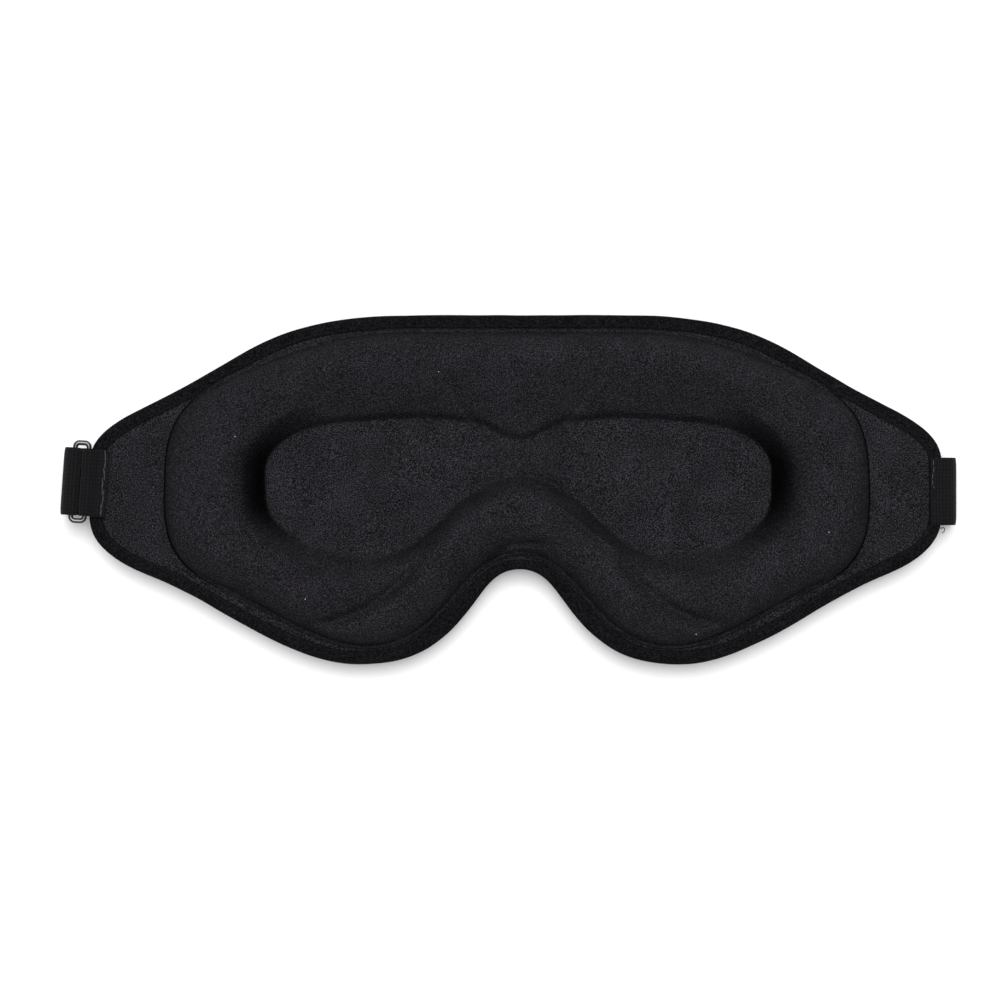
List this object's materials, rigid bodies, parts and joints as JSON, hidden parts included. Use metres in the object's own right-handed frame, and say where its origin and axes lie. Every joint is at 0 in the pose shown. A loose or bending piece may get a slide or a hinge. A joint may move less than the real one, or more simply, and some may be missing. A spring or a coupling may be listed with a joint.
{
  "type": "sleep eye mask",
  "caption": "Contoured foam sleep mask with recessed eye cups, bound edge, wire ring and an adjustable elastic strap folded flat behind it.",
  "frame": {"origin": "on the mask's symmetry plane, in the plane the folded strap lies on", "axes": "+X along the mask towards the sewn strap end, +Y to the top edge, +Z out of the face side"},
  "size_m": [0.2561, 0.1001, 0.024],
  "materials": {
    "outer_fabric": "smooth brushed knit",
    "lining_fabric": "coarse grained knit",
    "pad_fabric": "fine brushed knit",
    "binding_tape": "smooth stretch tape",
    "foam": "open-cell foam",
    "webbing": "ribbed elastic webbing",
    "thread": "spun thread",
    "ring_gloss": "glossy black",
    "slider_plastic": "fine moulded"
  },
  "bodies": {
    "core": {"outer_cover": "outer_fabric", "base_foam": "foam", "lining": "lining_fabric", "binding": "binding_tape", "binding_thread": "thread", "pad_foam": "foam", "pad_cover": "pad_fabric"},
    "left_wing": {"left_wing_outer_cover": "outer_fabric", "left_wing_base_foam": "foam", "left_wing_lining": "lining_fabric", "left_wing_binding": "binding_tape", "left_wing_binding_thread": "thread", "ring_tab": "webbing", "ring_tab_tack": "thread"},
    "right_wing": {"right_wing_outer_cover": "outer_fabric", "right_wing_base_foam": "foam", "right_wing_lining": "lining_fabric", "right_wing_binding": "binding_tape", "right_wing_binding_thread": "thread", "strap_anchor": "webbing", "strap_anchor_tack": "thread"},
    "ring": {"strap_ring": "ring_gloss", "strap_ring_loop": "webbing"},
    "strap": {"strap_run": "webbing", "strap_return": "webbing"},
    "slider": {"slider_frame": "slider_plastic", "strap_slider_loop": "webbing", "slider_loop_tack": "thread"}
  },
  "joints": [
    {"name": "left_wing_bend", "type": "hinge", "parent": "core", "child": "left_wing", "pos_m": [-0.1015, 0, 0.0118], "axis": [0, 1, 0], "range_deg": [0, 50], "stiffness_Nm_per_rad": 0.01},
    {"name": "right_wing_bend", "type": "hinge", "parent": "core", "child": "right_wing", "pos_m": [0.1015, 0, 0.0118], "axis": [0, -1, 0], "range_deg": [0, 50], "stiffness_Nm_per_rad": 0.01},
    {"name": "ring_swing", "type": "hinge", "parent": "left_wing", "child": "ring", "pos_m": [-0.12225, 0.0022, 0.01365], "axis": [0.0698, 0.9976, 0], "range_deg": [0, 60]},
    {"name": "strap_pull", "type": "slide", "parent": "core", "child": "strap", "axis": [0, 0, -1], "range_m": [0, 0.05]},
    {"name": "slider_slide", "type": "slide", "parent": "strap", "child": "slider", "axis": [-1, 0, 0], "range_m": [0, 0.07], "deforming": ["strap_run", "strap_return"]}
  ]
}
